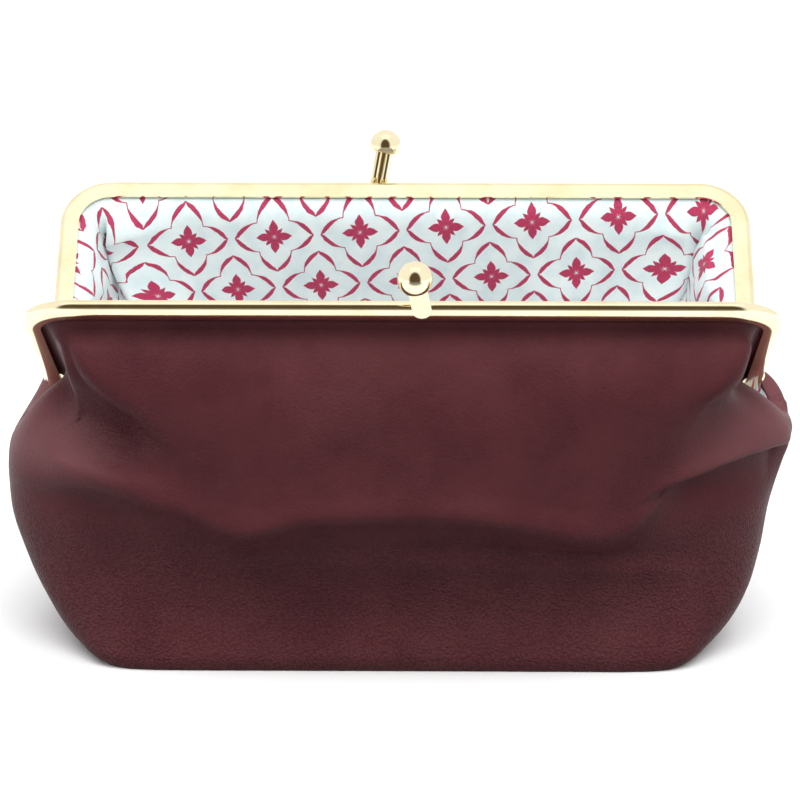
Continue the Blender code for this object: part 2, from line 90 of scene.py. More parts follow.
def fromHalf(x, away, up, side):
    # A frame half's own sizes (across, off its mating plane, up the half) turned open
    angle = math.radians(openAngle[side])
    y = side * np.asarray(away, float)
    z = np.asarray(up, float)
    return hinge + np.stack(np.broadcast_arrays(
        x, y * math.cos(angle) - z * math.sin(angle), y * math.sin(angle) + z * math.cos(angle)), -1)


# Shader maths: a socket wrapped so that ordinary expressions add Math nodes

class Value:
    def __init__(self, shader, socket):
        self.shader = shader
        self.socket = socket

    def math(self, operation, *others):
        return self.shader.maths(operation, self, *others)

    def __add__(self, other):
        return self.math("ADD", other)

    def __sub__(self, other):
        return self.math("SUBTRACT", other)

    def __mul__(self, other):
        return self.math("MULTIPLY", other)

    def __truediv__(self, other):
        return self.math("DIVIDE", other)

    def __pow__(self, other):
        return self.math("POWER", other)

    def __abs__(self):
        return self.math("ABSOLUTE")

    def __neg__(self):
        return self * -1

    def __rsub__(self, other):
        return self.shader.maths("SUBTRACT", other, self)

    __radd__ = __add__
    __rmul__ = __mul__

    def clamped(self):
        return self.math("MAXIMUM", 0).math("MINIMUM", 1)

    def step(self, low, high):
        # 0 below low, 1 above high, smooth between
        made = self.shader.node("ShaderNodeMapRange", {"interpolation_type": "SMOOTHSTEP"},
                                {"Value": self, "From Min": low, "From Max": high})
        return Value(self.shader, made.outputs["Result"])


class Shader:
    # One material, or the world, and short ways to add nodes to it
    def __init__(self, name, holder=None):
        self.holder = holder or bpy.data.materials.new(name)
        self.holder.use_nodes = True
        self.tree = self.holder.node_tree
        self.tree.nodes.clear()

    def node(self, kind, settings=None, sockets=None):
        made = self.tree.nodes.new(kind)
        for name, value in (settings or {}).items():
            setattr(made, name, value)
        pairs = sockets.items() if isinstance(sockets, dict) else enumerate(sockets or ())
        for key, value in pairs:
            if isinstance(value, Value):
                self.tree.links.new(value.socket, made.inputs[key])
            elif value is not None:
                made.inputs[key].default_value = value
        return made

    def value(self, node, output=0):
        return Value(self, node.outputs[output])

    def maths(self, operation, *values):
        return self.value(self.node("ShaderNodeMath", {"operation": operation}, values))

    def place(self):
        return self.value(self.node("ShaderNodeTexCoord"), "Object")

    def split(self, vector):
        made = self.node("ShaderNodeSeparateXYZ", None, {0: vector})
        return self.value(made, 0), self.value(made, 1), self.value(made, 2)

    def noise(self, place, scale, detail=2.0, roughness=0.5, output="Fac"):
        made = self.node("ShaderNodeTexNoise", None, {
            "Vector": place, "Scale": scale, "Detail": detail, "Roughness": roughness})
        return self.value(made, output)

    def blend(self, amount, low, high):
        made = self.node("ShaderNodeMix", {"data_type": "RGBA"}, {0: amount, 6: low, 7: high})
        return self.value(made, 2)

    def scaled(self, place, factors):
        made = self.node("ShaderNodeVectorMath", {"operation": "MULTIPLY"}, {0: place, 1: factors})
        return self.value(made)

    def wander(self, place, by, amount):
        # The place moved a little by a noise colour
        made = self.node("ShaderNodeMix", {"data_type": "VECTOR"}, {0: amount, 4: place, 5: by})
        return self.value(made, 1)

    def bump(self, height, strength, distance):
        made = self.node("ShaderNodeBump", None, {
            "Strength": strength, "Distance": distance, "Height": height})
        return self.value(made, "Normal")

    def principled(self, sockets):
        return self.finish(self.node("ShaderNodeBsdfPrincipled", None, sockets))

    def finish(self, surface, output="ShaderNodeOutputMaterial"):
        out = self.node(output)
        self.tree.links.new(surface.outputs[0], out.inputs["Surface"])
        return self.holder


def rgb(red, green, blue):
    # A screen colour, 0 to 255, as the linear colour that a shader wants
    def linear(level):
        share = level / 255
        return share / 12.92 if share <= 0.04045 else ((share + 0.055) / 1.055) ** 2.4
    return (linear(red), linear(green), linear(blue), 1)


goldLook = {
    "colour": rgb(252, 241, 204), "shade": rgb(243, 228, 184), "roughness": 0.12,
    "hazeScale": 90, "hazeSpan": (0.35, 0.75), "dullSpan": (0.45, 0.8), "dull": 0.05,
    "scratchWay": (1, 6, 6), "scratchScale": 240, "scratchDepth": 0.000008, "scratchStrength": 0.1,
}


def goldMetal():
    shader = Shader("polished_gold")
    place = shader.place()
    haze = shader.noise(place, goldLook["hazeScale"], 3)
    fine = shader.noise(shader.scaled(place, goldLook["scratchWay"]), goldLook["scratchScale"], 4, 0.6)
    return shader.principled({
        "Base Color": shader.blend(haze.step(*goldLook["hazeSpan"]), goldLook["colour"], goldLook["shade"]),
        "Metallic": 1.0,
        "Roughness": goldLook["roughness"] + haze.step(*goldLook["dullSpan"]) * goldLook["dull"],
        "Normal": shader.bump(fine, goldLook["scratchStrength"], goldLook["scratchDepth"])})


leatherLook = {
    "colour": rgb(88, 46, 50), "deep": rgb(58, 25, 31), "wornAndSheen": rgb(108, 66, 68), "swellLight": rgb(120, 78, 82),
    "grainScale": 1350, "grainDepth": 0.00042, "grainWander": 0.003, "wanderScale": 90,
    "creaseScale": 1200, "patchScale": 26, "mottleScale": 55, "wornScale": 24, "swellLightShare": 0.65,
    "roughness": 0.48, "specular": 0.06, "gloss": 0.08, "glossRoughness": 0.3,
    "hollow": (-0.079, 0.0715), "hollowSize": (0.016, 0.01), "slackHeight": (0.034, 0.05),
    "swellHeight": 0.066, "swellReach": (0.003, 0.016), "swellStart": (0.068, 0.092),
}


def grainedLeather():
    shader = Shader("burgundy_leather")
    place = shader.place()
    warp = shader.noise(place, leatherLook["wanderScale"], 2, output="Color")
    pebble = shader.node("ShaderNodeTexVoronoi", {"feature": "SMOOTH_F1"}, {
        "Vector": shader.wander(place, warp, leatherLook["grainWander"]),
        "Scale": leatherLook["grainScale"], "Smoothness": 0.45, "Randomness": 0.95})
    pebbles = 1 - shader.value(pebble, "Distance") * 1.25
    patch = shader.noise(place, leatherLook["patchScale"], 2)
    fine = shader.noise(place, leatherLook["creaseScale"], 3, 0.6)
    # The grain stands up where the leather is slack: low on the body and in the left hollow
    aside, _, high = shader.split(place)
    (x, z), (wide, tall) = leatherLook["hollow"], leatherLook["hollowSize"]
    toHollow = (((aside - x) / wide) ** 2 + ((high - z) / tall) ** 2) ** 0.5
    slack = (1 - high.step(*leatherLook["slackHeight"])).math("MAXIMUM", 1 - toHollow.step(0.6, 1.3))
    strength = slack * 0.75 + patch.step(0.3, 0.7) * 0.25 + 0.15
    height = pebbles * strength + fine * 0.12
    valley = (1 - pebbles.step(0.1, 0.65)) * strength
    mottle = shader.noise(place, leatherLook["mottleScale"], 4, 0.6)
    tone = shader.blend(mottle.step(0.3, 0.8) * 0.5, leatherLook["colour"], leatherLook["deep"])
    # Darker in the grain's valleys: the grain's own colour, with painted shade added where the grain stands
    # up most, low on the body and in the left hollow
    tone = shader.blend(valley * 0.45, tone, leatherLook["deep"])
    # Paler patches of wear at random; the same colour also serves the painted highlight below
    wornAndSheen = shader.noise(place, leatherLook["wornScale"], 3).step(0.5, 0.8)
    tone = shader.blend(wornAndSheen * 0.25, tone, leatherLook["wornAndSheen"])
    # Painted highlight: lighter pebble tops where the leather is slack, low on the body and in the left
    # hollow
    tone = shader.blend(pebbles.step(0.6, 0.95) * slack * 0.22, tone, leatherLook["wornAndSheen"])
    # Painted highlight: paler where the leather swells out at both ends, where the light falls on the swell
    offSwell = abs(high - leatherLook["swellHeight"]).step(*leatherLook["swellReach"])
    ends = abs(aside).step(*leatherLook["swellStart"]) * (1 - offSwell)
    return shader.principled({
        "Base Color": shader.blend(ends * leatherLook["swellLightShare"], tone, leatherLook["swellLight"]),
        "Roughness": leatherLook["roughness"] + valley * 0.12 - mottle * 0.08,
        "Specular IOR Level": leatherLook["specular"],
        "Coat Weight": slack * leatherLook["gloss"],
        "Coat Roughness": leatherLook["glossRoughness"],
        "Normal": shader.bump(height, 0.8, leatherLook["grainDepth"])})


printLook = {
    "cloth": rgb(229, 241, 240), "clothShade": rgb(212, 229, 231), "ink": rgb(182, 22, 80),
    "inkDeep": rgb(154, 18, 68), "acrossPitch": 0.0251, "downPitch": 0.032, "turn": 3.4,
    "rise": 0.0062, "slide": 0.001, "wobble": 0.00035, "edge": 0.00007, "petalEdge": 0.00006,
    "motifWidth": 0.0115, "motifHeight": 0.0109, "notch": 0.0048, "line": 0.0011,
    "petal": 0.0054, "petalWidth": 0.0013, "smallPetal": 0.0038, "smallPetalWidth": 0.00064,
    "notchEdge": 0.0003, "tipEdge": 0.0001, "threads": 3200, "weaveDepth": 0.00012,
    "wobbleScale": 900, "slubScale": (400, 2600, 1), "patchScale": 140, "inkScale": 1500,
}


def petalMask(along, across, length, width):
    # A pointed petal that starts at the middle and ends at its length
    share = along / length
    inside = share.step(0.02, 0.06) * (1 - share.step(0.98, 1.0))
    swell = (share.clamped() ** 1.1 * math.pi).math("SINE").math("MAXIMUM", 0) ** 1.3 * width
    edge = printLook["petalEdge"]
    return inside * (1 - (abs(across) - swell).step(-edge, edge))


def lobeMask(along, across):
    # One lobe of the quatrefoil: round from the notch, then drawn in to a point. The line is
    # measured square to itself, thin at the notch and at the point and heavy between them.
    notch, length = printLook["notch"], printLook["motifWidth"] - printLook["notch"]
    share = ((along - notch) / length).clamped()
    fall = 1 - share ** 1.8
    slope = share ** 0.8 * (1.8 * notch / length)
    off = abs(abs(across) - fall * notch * 0.97) / (slope * slope + 1) ** 0.5
    weight = share.step(0.1, 0.65) * (1 - share.step(0.8, 1.02)) * 0.9 + 0.28
    nearness = off - weight * printLook["line"] * 0.5
    past = along.step(notch - printLook["notchEdge"], notch)
    return (1 - nearness.step(-printLook["edge"], printLook["edge"])) * past


def motif(across, down):
    # Four pointed lobes around a small eight-petalled flower
    wide = printLook["motifWidth"]
    a, b = abs(across), abs(down * (wide / printLook["motifHeight"]))
    long = a.math("MAXIMUM", b)
    short = a.math("MINIMUM", b)
    mask = lobeMask(long, short) * (1 - long.step(wide, wide + printLook["tipEdge"]))
    mask = mask.math("MAXIMUM", petalMask(long, short, printLook["petal"], printLook["petalWidth"]))
    diagonal = (long + short) * math.sqrt(0.5)
    off = (long - short) * math.sqrt(0.5)
    small = petalMask(diagonal, off, printLook["smallPetal"], printLook["smallPetalWidth"])
    return mask.math("MAXIMUM", small)


def printedCotton():
    shader = Shader("printed_cotton")
    flat = shader.value(shader.node("ShaderNodeUVMap", {"uv_map": "cloth"}))
    wobble = shader.noise(flat, printLook["wobbleScale"], 2, output="Color")
    flatAcross, flatDown, _ = shader.split(shader.wander(flat, wobble, printLook["wobble"]))
    turn = math.radians(printLook["turn"])
    across = flatAcross * math.cos(turn) - flatDown * math.sin(turn)
    down = flatDown * math.cos(turn) + flatAcross * math.sin(turn)
    wide, high = printLook["acrossPitch"], printLook["downPitch"]
    mask = None
    for shift in (0, 0.5):
        x = (across + (shift * wide + printLook["slide"])).math("WRAP", wide / 2, -wide / 2)
        y = (down + (shift * high + printLook["rise"])).math("WRAP", high / 2, -high / 2)
        found = motif(x, y)
        mask = found if mask is None else mask.math("MAXIMUM", found)
    threads = printLook["threads"]
    warp = (across * threads * math.pi).math("SINE")
    weft = (down * threads * math.pi).math("SINE")
    weave = abs(warp) * 0.5 + abs(weft) * 0.5
    slub = shader.noise(shader.scaled(flat, printLook["slubScale"]), 1, 3, 0.6)
    patchy = shader.noise(flat, printLook["patchScale"], 3)
    cloth = shader.blend(patchy.step(0.35, 0.75), printLook["cloth"], printLook["clothShade"])
    cloth = shader.blend(slub.step(0.55, 0.8) * 0.35, cloth, printLook["clothShade"])
    inked = shader.noise(flat, printLook["inkScale"], 3).step(0.4, 0.7)
    ink = shader.blend(inked, printLook["ink"], printLook["inkDeep"])
    return shader.principled({
        "Base Color": shader.blend(mask * 0.96, cloth, ink),
        "Roughness": 0.82 - mask * 0.06,
        "Specular IOR Level": 0.25,
        "Sheen Weight": 0.15,
        "Normal": shader.bump(weave + slub * 0.6, 0.25, printLook["weaveDepth"])})


paperLook = {
    "colour": rgb(206, 182, 140), "fibre": rgb(170, 142, 100), "fibreScale": 1400,
    "fibreDepth": 0.0002, "roughness": 0.9,
}


def paperTwist():
    shader = Shader("kraft_paper")
    fibre = shader.noise(shader.place(), paperLook["fibreScale"], 4, 0.7)
    return shader.principled({
        "Base Color": shader.blend(fibre, paperLook["colour"], paperLook["fibre"]),
        "Roughness": paperLook["roughness"],
        "Normal": shader.bump(fibre, 0.4, paperLook["fibreDepth"])})


materials = {"frame_gold": goldMetal(), "leather": grainedLeather(), "lining": printedCotton(),
             "paper_cord": paperTwist()}
print("materials made:", ", ".join(materials))


# Mesh helpers

def addObject(name, data):
    made = bpy.data.objects.new(name, data)
    scene.collection.objects.link(made)
    return made


def addPiece(name, points, faces, slot, degrees=40):
    mesh = bpy.data.meshes.new(name)
    mesh.from_pydata([tuple(point) for point in points], [], faces)
    mesh.update()
    piece = addObject(name, mesh)
    mesh.materials.append(materials[slot])
    mesh.shade_smooth()
    mesh.set_sharp_from_angle(angle=math.radians(degrees))
    worker = bmesh.new()
    worker.from_mesh(mesh)
    bmesh.ops.recalc_face_normals(worker, faces=worker.faces)
    worker.to_mesh(mesh)
    worker.free()
    return piece


def paint(piece, slot):
    piece.data.materials.clear()
    piece.data.materials.append(materials[slot])


def bakeModifiers(piece):
    # The modifiers' result becomes the piece's own mesh
    graph = bpy.context.evaluated_depsgraph_get()
    made = bpy.data.meshes.new_from_object(piece.evaluated_get(graph))
    piece.modifiers.clear()
    piece.data = made


def addModifier(piece, kind, **settings):
    modifier = piece.modifiers.new(kind.lower(), kind)
    for name, value in settings.items():
        setattr(modifier, name, value)
    return modifier


def bandFaces(low, count, rows):
    # Faces between closed rings of points that are numbered from low on
    return [(row + k, row + after, row + count + after, row + count + k)
            for row in range(low, low + (rows - 1) * count, count)
            for k, after in zip(range(count), [*range(1, count), 0])]


def loftRings(name, rings, degrees=40):
    # Closed rings of equal count, joined in order, with a face at each end
    count = len(rings[0])
    points = [point for ring in rings for point in ring]
    faces = bandFaces(0, count, len(rings))
    last = (len(rings) - 1) * count
    faces += [tuple(range(count))[::-1], tuple(last + k for k in range(count))]
    return addPiece(name, points, faces, "frame_gold", degrees)


def arcPoints(centre, radius, start, end, steps):
    angles = np.radians(np.linspace(start, end, steps + 1))
    return [(centre[0] + radius * math.cos(a), centre[1] + radius * math.sin(a)) for a in angles]


def turned(name, outline, steps, degrees=40):
    # outline is (height, radius) from bottom to top, with both ends on the axis
    points = [(0, 0, outline[0][0])]
    rows = outline[1:-1]
    for height, radius in rows:
        for k in range(steps):
            angle = 2 * math.pi * k / steps
            points.append((radius * math.cos(angle), radius * math.sin(angle), height))
    points.append((0, 0, outline[-1][0]))
    faces = bandFaces(1, steps, len(rows))
    last = 1 + (len(rows) - 1) * steps
    for k in range(steps):
        after = (k + 1) % steps
        faces += [(0, 1 + after, 1 + k), (last + k, last + after, len(points) - 1)]
    return addPiece(name, points, faces, "frame_gold", degrees)


# Frame halves

metal = {
    "halfWidth": 0.1, "reach": 0.065, "corner": 0.0145, "channelWidth": 0.0056,
    "thickness": 0.0042, "wall": 0.0008, "rim": 0.001, "outerWidth": 0.005,
    "swellLength": 0.0036, "swellHeight": 0.0024, "innerCorner": 0.0011, "matingRadius": 0.0018,
    "matingGap": 0.0003, "endDrop": 0.0022, "stripStart": 0.0045,
    "earRadius": 0.003, "earThickness": 0.0008, "rearEarHeight": 0.009, "gap": 0.0003,
    "rivetRadius": 0.001, "headRadius": 0.0024, "headHeight": 0.0011, "tailRadius": 0.0019,
    "tailHeight": 0.0007, "tailShare": 0.7, "headGapShare": 0.4,
    "overrun": 0.001, "notchPast": 0.00005, "lipBevel": 0.00018,
}
nearWall = metal["matingGap"] / 2 + metal["wall"]
outerFace = metal["matingGap"] / 2 + metal["thickness"]
farWall = outerFace - metal["wall"]
halves = ((-1, "front"), (1, "rear"))


def framePath(cornerSteps=26):
    half, corner = metal["halfWidth"], metal["corner"]
    stations = [((-half, -metal["endDrop"]), (1, 0))]
    for sign, start, end in ((-1, 180, 90), (1, 90, 0)):
        for a in np.radians(np.linspace(start, end, cornerSteps + 1)):
            out = (math.cos(a), math.sin(a))
            centre = (sign * (half - corner), metal["reach"] - corner)
            spot = (centre[0] + out[0] * corner, centre[1] + out[1] * corner)
            stations.append((spot, (-out[0], -out[1])))
    stations.append(((half, -metal["endDrop"]), (-1, 0)))
    return stations


def channelSection():
    # (inward from the rim, off the mating plane). The outer face swells like half an ellipse.
    near = metal["matingGap"] / 2
    width, edge, rim, inner = (metal[key] for key in ("channelWidth", "matingRadius", "rim", "innerCorner"))
    long, tall = metal["swellLength"], metal["swellHeight"]
    section = [(metal["outerWidth"], outerFace)]
    section += [(long - long * math.cos(t), outerFace - tall + tall * math.sin(t))
                for t in np.radians(np.linspace(90, 0, 15))]
    section += arcPoints((edge, near + edge), edge, 180, 270, 8)
    section += [(width, near), (width, nearWall), (rim, nearWall), (rim, farWall - inner)]
    section += [(rim + inner, farWall), (metal["outerWidth"], farWall)]
    return section


def halfPrism(name, outline, low, high, side):
    # An outline in (away, up), run across from low to high, turned open with its half
    rings = [[fromHalf(x, side * y, z, side) for y, z in outline] for x in (low, high)]
    return loftRings(name, rings)


def cutWith(piece, cutter, operation):
    addModifier(piece, "BOOLEAN", operation=operation, object=cutter, solver="EXACT")
    bakeModifiers(piece)
    bpy.data.objects.remove(cutter)


def shapeEnd(piece, side, end):
    half = metal["halfWidth"]
    inner = half - metal["channelWidth"] - metal["overrun"]
    if side < 0:
        outer, reach = half - metal["rim"] + metal["notchPast"], nearWall + metal["wall"]
    else:
        outer, reach = half + metal["overrun"], farWall - metal["matingGap"] / 2
    # The outlines here are in the half's own y, where the front half lies on the minus side
    low, high = sorted((-side * metal["overrun"], side * reach))
    bottom = -metal["endDrop"] - metal["overrun"]
    box = [(low, bottom), (high, bottom), (high, metal["stripStart"]), (low, metal["stripStart"])]
    spans = sorted((end * inner, end * outer))
    cutWith(piece, halfPrism("notch", box, *spans, side), "DIFFERENCE")
    disc = arcPoints((0, 0), metal["earRadius"], 0, 360, 40)[:-1]
    if side < 0:
        high = half - (metal["rim"] - metal["earThickness"]) / 2
        outline = disc
    else:
        high = half - metal["rim"] - metal["gap"]
        web = farWall + metal["wall"] / 2
        outline = arcPoints((0, 0), metal["earRadius"], 180, 270, 16)
        outline += [(web, -metal["earRadius"] / 2), (web, metal["rearEarHeight"])]
        outline += [(metal["matingGap"], metal["rearEarHeight"]), (metal["matingGap"], metal["stripStart"])]
        outline += arcPoints((0, 0), metal["earRadius"], 135, 180, 10)[:-1]
    spans = sorted((end * (high - metal["earThickness"]), end * high))
    cutWith(piece, halfPrism("ear", outline, *spans, side), "UNION")
    bore = arcPoints((0, 0), metal["rivetRadius"] + metal["gap"] / 2, 0, 360, 32)[:-1]
    spans = sorted((end * inner, end * (half + metal["overrun"])))
    cutWith(piece, halfPrism("bore", bore, *spans, side), "DIFFERENCE")


def frameHalf(side, hand):
    rings = []
    for spot, inward in framePath():
        ring = [fromHalf(spot[0] + inward[0] * depth, away, spot[1] + inward[1] * depth, side)
                for depth, away in channelSection()]
        rings.append(ring)
    piece = loftRings(f"{hand}_half_frame", rings, 30)
    for end in (-1, 1):
        shapeEnd(piece, side, end)
    paint(piece, "frame_gold")
    addModifier(piece, "BEVEL", width=metal["lipBevel"], segments=2, limit_method="ANGLE",
                angle_limit=math.radians(50))
    piece.data.shade_smooth()
    piece.data.set_sharp_from_angle(angle=math.radians(30))
    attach(piece, f"{hand}_half")
    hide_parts(f"{hand}_frame")


def hingeRivet(end, hand):
    shank = metal["halfWidth"] - metal["rim"] - 2 * metal["gap"] - metal["earThickness"]
    head = metal["halfWidth"] + metal["gap"] * metal["headGapShare"]
    tail, wide = metal["tailHeight"], metal["tailRadius"]
    outline = [(shank - tail, 0), (shank - tail, wide * metal["tailShare"])]
    outline += [(shank - tail / 2, wide), (shank, wide)]
    outline += [(shank, metal["rivetRadius"]), (head, metal["rivetRadius"]), (head, metal["headRadius"])]
    for a in np.radians(np.linspace(0, 90, 13))[1:]:
        outline.append((head + metal["headHeight"] * math.sin(a), metal["headRadius"] * math.cos(a)))
    piece = turned(f"{hand}_rivet", outline, 40)
    piece.data.transform(Matrix.Rotation(end * math.radians(90), 4, "Y"))
    piece.data.transform(Matrix.Translation(Vector(hinge)))
    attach(piece, "pouch")
    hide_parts(f"{hand}_hinge_rivet")


for side, hand in halves:
    frameHalf(side, hand)
for end, hand in ((-1, "left"), (1, "right")):
    hingeRivet(end, hand)
print("frame halves and rivets made")


# Ball clasp

clasp = {
    "ballRadius": 0.0046, "flatDrop": 0.0024, "reach": 0.0103, "crossover": {-1: 0.0016, 1: 0.0028},
    "ballOffset": {-1: 0.0037, 1: -0.0058}, "stemOffset": {-1: 0.0057, 1: -0.0082},
    "width": 0.005, "thickness": 0.0009, "slot": 0.0006, "fold": 0.0014, "toe": 0.0009,
    "touch": (0.0042, 0.0008), "foldSpan": (0.0025, 0.0042), "toeRound": 0.0024, "bevel": 0.00034,
    "flatEdgeShares": ((1, 0), (1, 0.6), (1, 0.93), (0.97, 0.985)), "ballStart": 4,
    "slotShare": 0.6, "rollShare": 0.9, "topShare": 0.82, "leastShare": 0.03,
}


def stemLine(side):
    # Toe, top and ball centre in the half's own (x, y, z), and the direction of the straight
    # stem, which touches the rounded outer edge of the rim just above its toe
    away, drop = clasp["touch"]
    touch = Vector((clasp["stemOffset"][side], side * away, metal["reach"] - drop))
    across, height = -side * clasp["crossover"][side], metal["reach"] + clasp["reach"]
    ball = Vector((clasp["ballOffset"][side], across, height))
    lean = (ball - touch).normalized()
    return touch - lean * clasp["toe"], ball - lean * clasp["flatDrop"], ball, lean


def openTurn(side):
    turn = Matrix.Rotation(math.radians(openAngle[side]), 4, "X")
    return Matrix.Translation(Vector(hinge)) @ turn


def stemSection(spot, across, face, wide, fold):
    # A strip whose two edges roll back and leave a slot between the rolls
    half = clasp["width"] / 2 * wide
    slot = min(clasp["slot"] / 2, half * clasp["slotShare"])
    back = clasp["thickness"] / 2
    rise = -back - clasp["fold"] * fold - clasp["thickness"] / 10
    middle, radius = (half + slot) / 2, (half - slot) / 2
    tall = min(radius, (-back - rise) * clasp["rollShare"])
    shape = [(-half, back), (half, back)]
    for hand in (1, -1):
        roll = [(middle + radius * math.cos(a), rise + tall - tall * math.sin(a))
                for a in np.linspace(0, math.pi, 9)]
        roll = roll + [(slot, -back)] if hand > 0 else [(-slot, -back)] + [(-x, y) for x, y in roll[::-1]]
        shape += roll
    return [spot + across * a + face * b for a, b in shape]


def claspStem(side, hand):
    toe, top = stemLine(side)[:2]
    # A tongue that stands on the rim's outer edge and leans straight over to the ball
    path = [toe.lerp(top, t) for t in np.linspace(0, 1, 11)[:-1] ** 2]
    path += [toe.lerp(top, t) for t in np.linspace(clasp["topShare"], 1, 4)]
    rings = []
    facing = Vector((0, side, 1))
    for k, spot in enumerate(path):
        ahead = (path[min(k + 1, len(path) - 1)] - path[max(k - 1, 0)]).normalized()
        face = (facing - ahead * ahead.dot(facing)).normalized()
        across = ahead.cross(face).normalized()
        if across.x < 0:
            across = -across
        gone = (spot - toe).length
        before = 1 - min(gone / clasp["toeRound"], 1)
        wide = math.sqrt(max(1 - before**2, clasp["leastShare"]))
        fold = float(ease(gone, *clasp["foldSpan"]))
        rings.append(stemSection(spot, across, face, wide, fold))
    piece = loftRings(f"{hand}_stem", rings, 45)
    piece.data.transform(openTurn(side))
    addModifier(piece, "BEVEL", width=clasp["bevel"], segments=4, limit_method="ANGLE",
                angle_limit=math.radians(40))
    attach(piece, f"{hand}_half")
    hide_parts(f"{hand}_clasp_stem")


def claspBall(side, hand):
    ball, lean = stemLine(side)[2:]
    radius, drop = clasp["ballRadius"], clasp["flatDrop"]
    flat = math.sqrt(radius**2 - drop**2)
    start = math.degrees(math.atan2(-drop, flat))
    outline = [(-drop * low, flat * out) for low, out in clasp["flatEdgeShares"]]
    for a in np.radians(np.linspace(start + clasp["ballStart"], 90, 40)):
        outline.append((radius * math.sin(a), radius * math.cos(a)))
    piece = turned(f"{hand}_ball", outline, 72, 50)
    turn = lean.to_track_quat("Z", "Y").to_matrix().to_4x4()
    piece.data.transform(openTurn(side) @ Matrix.Translation(ball) @ turn)
    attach(piece, f"{hand}_half")
    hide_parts(f"{hand}_clasp_ball")


for side, hand in halves:
    claspStem(side, hand)
    claspBall(side, hand)
print("clasp made")


# Body of the pouch: rows run from the channel's slot down to the seam under the base

# Insets and depths are those of the shoulder at the hinge, the leg and the corner. The places where
# the cloth leaves the leg are (out, drop), and those over the side seam (out, down).
body = {
    "insert": 0.0022, "slotStart": 0.013, "leather": 0.001, "gap": 0.0003, "seamGap": 0.000006,
    "rollOut": 0.0026, "rollDrop": 0.0031, "seamDrop": {-1: 0.007, 1: 0.0075},
    "seamInset": {-1: 0.007, 1: -0.003}, "footInset": 0.0015, "baseSeamInset": 0.004,
    "edgeSag": {(-1, -1): 0.0015, (1, -1): 0.001, (-1, 1): 0.0035, (1, 1): -0.0025},
    "shoulderAt": (0, 0.45, 1, 2), "insets": (0.003, 0.01, 0.009), "depths": (0.0085, 0.0085, 0.0085),
    "blur": 0.12, "ridgeBlur": 0.004, "leavingShare": 0.75, "legRoll": 1.1,
    "legStart": (0.6, 0.25), "barStart": {-1: (0.25, 0.42), 1: (0.6, 0.25)},
    "sideShoulder": {-1: 0.1055, 1: 0.1068}, "sideShoulderHeight": {-1: 0.0655, 1: 0.069},
    "leavingShares": ((0.35, -0.05), (0.55, 0.05), (0.62, 0.4), (0.5, 1)),
    "seamShares": ((0, 0), (0.1, -0.02), (0.3, 0.01), (0.62, 0.16), (1, 1)),
}
# How each cloth leaves the bar: inset from the rim, depth off the mating plane, and roll
barLine = {
    "leather": {-1: (0.01, 0.0115, 1.5), 1: (0.0105, 0.011, 1.6)},
    "lining": {-1: (0.01, 0.0115, 1.5), 1: (0.0124, 0.0096, 1.6)},
}
# Half width of the body at the side seams by height, for each hand
sideLine = {
    -1: [(0.0, 0.0925), (0.003, 0.0962), (0.009, 0.0994), (0.015, 0.1024), (0.021, 0.105),
         (0.028, 0.1074), (0.035, 0.1097), (0.044, 0.111), (0.054, 0.111), (0.06, 0.1098), (0.066, 0.106)],
    1: [(0.0, 0.0875), (0.004, 0.0915), (0.011, 0.096), (0.015, 0.098), (0.023, 0.1004), (0.038, 0.1022),
        (0.046, 0.104), (0.052, 0.106), (0.058, 0.108), (0.063, 0.1086), (0.07, 0.107)],
}
# Rings of each side: height at the seam, depth from the hinge, squareness, how far the ring narrows
# from the seam to its front corner, and how far it rises and falls with the overhang
rings = {
    -1: {
        "brow": (0.06, 0.0545, 2.5, 0, 0.8),
        "ridge": (0.053, 0.054, 2.5, 0, 1),
        "under": (0.0485, 0.049, 2.55, 0, 0.9),
        "hollow": (0.0395, 0.0427, 2.8, 0, 0.35),
        "tuck": (0.028, 0.0368, 3.4, 0.02, 0),
        "swell": (0.0165, 0.0338, 5.0, 0.05, 0),
        "foot": (0.0018, 0.035, 13.0, 0.12, 0),
    },
    1: {
        "brow": (0.062, 0.0515, 2.5, 0, 0.8),
        "ridge": (0.053, 0.0505, 2.5, 0, 1),
        "under": (0.044, 0.048, 2.6, 0, 0.9),
        "hollow": (0.034, 0.043, 2.8, 0, 0.35),
        "tuck": (0.028, 0.0385, 3.4, 0.02, 0),
        "swell": (0.0165, 0.0362, 5.0, 0.05, 0),
        "foot": (0.0018, 0.035, 13.0, 0.12, 0),
    },
}
# Height of the belly's overhang across the front, from left to right
ridgeLine = [(-0.108, 0.052), (-0.093, 0.055), (-0.082, 0.0566), (-0.074, 0.0545), (-0.066, 0.052),
             (-0.059, 0.0506), (-0.053, 0.0486), (-0.049, 0.0464), (-0.045, 0.0447), (-0.039, 0.045),
             (-0.031, 0.0477), (-0.02, 0.0496), (0.0, 0.0502), (0.019, 0.0498), (0.033, 0.0474),
             (0.042, 0.0448), (0.05, 0.0426), (0.057, 0.043), (0.063, 0.0462), (0.067, 0.0502),
             (0.072, 0.0548), (0.08, 0.059), (0.094, 0.0618), (0.101, 0.0614), (0.108, 0.059)]
rearRidgeLine = [(-0.108, 0.0525), (-0.06, 0.05), (0.0, 0.0525), (0.05, 0.0495), (0.108, 0.059)]
columnSteps = {"edge": 14, "leg": 26, "corner": 22, "bar": 62}
rowSteps = {"slot": 2, "mouth": 3, "roll": 3, "turn": 5, "shoulder": 12, "panel": 14, "ridge": 6,
            "under": 8, "hollow": 8, "tuck": 8, "swell": 7, "foot": 4, "edge": 10}


